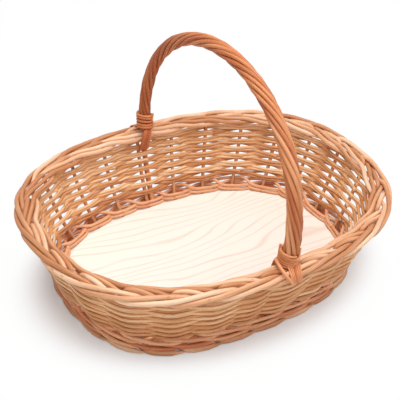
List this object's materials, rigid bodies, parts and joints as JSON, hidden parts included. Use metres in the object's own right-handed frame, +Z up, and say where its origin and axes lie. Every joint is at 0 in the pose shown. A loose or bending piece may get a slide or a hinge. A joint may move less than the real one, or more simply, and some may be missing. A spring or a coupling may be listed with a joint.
{
  "type": "wicker gift basket",
  "caption": "Oval willow basket with a plywood base, a flared woven wall, a plaited rim border and one fixed arched roped handle, for carrying and presenting gifts.",
  "frame": {"origin": "on the resting surface, under the middle of the oval board", "axes": "+X along the basket's length, +Y along its width and towards the back foot of the handle, +Z up"},
  "size_m": [0.4668, 0.3608, 0.3034],
  "materials": {
    "birch_plywood": "sanded bare plywood",
    "willow_stake": "boiled and stripped willow, satin",
    "willow_upset": "boiled and stripped willow, satin",
    "willow_siding": "boiled and stripped willow, satin",
    "willow_handle": "boiled and stripped willow, satin",
    "willow_lashing": "split willow, satin"
  },
  "bodies": {
    "root": {"base_board": "birch_plywood", "stake_01": "willow_stake", "stake_02": "willow_stake", "stake_03": "willow_stake", "stake_04": "willow_stake", "stake_05": "willow_stake", "stake_06": "willow_stake", "stake_07": "willow_stake", "stake_08": "willow_stake", "stake_09": "willow_stake", "stake_10": "willow_stake", "stake_11": "willow_stake", "stake_12": "willow_stake", "stake_13": "willow_stake", "stake_14": "willow_stake", "stake_15": "willow_stake", "stake_16": "willow_stake", "stake_17": "willow_stake", "stake_18": "willow_stake", "stake_19": "willow_stake", "stake_20": "willow_stake", "stake_21": "willow_stake", "stake_22": "willow_stake", "stake_23": "willow_stake", "stake_24": "willow_stake", "weaver_01": "willow_upset", "weaver_02": "willow_upset", "weaver_03": "willow_upset", "weaver_04": "willow_siding", "weaver_05": "willow_siding", "weaver_06": "willow_siding", "weaver_07": "willow_siding", "weaver_08": "willow_siding", "weaver_09": "willow_siding", "weaver_10": "willow_siding", "weaver_11": "willow_siding", "weaver_12": "willow_siding", "weaver_13": "willow_siding", "weaver_14": "willow_siding", "weaver_15": "willow_siding", "weaver_16": "willow_siding", "weaver_17": "willow_siding", "handle_core": "willow_handle", "handle_strand_1": "willow_handle", "handle_strand_2": "willow_handle", "handle_strand_3": "willow_handle", "handle_strand_4": "willow_handle", "handle_strand_5": "willow_handle", "handle_strand_6": "willow_handle", "handle_strand_7": "willow_handle", "handle_strand_8": "willow_handle", "lashing_back": "willow_lashing", "lashing_front": "willow_lashing"}
  },
  "joints": []
}
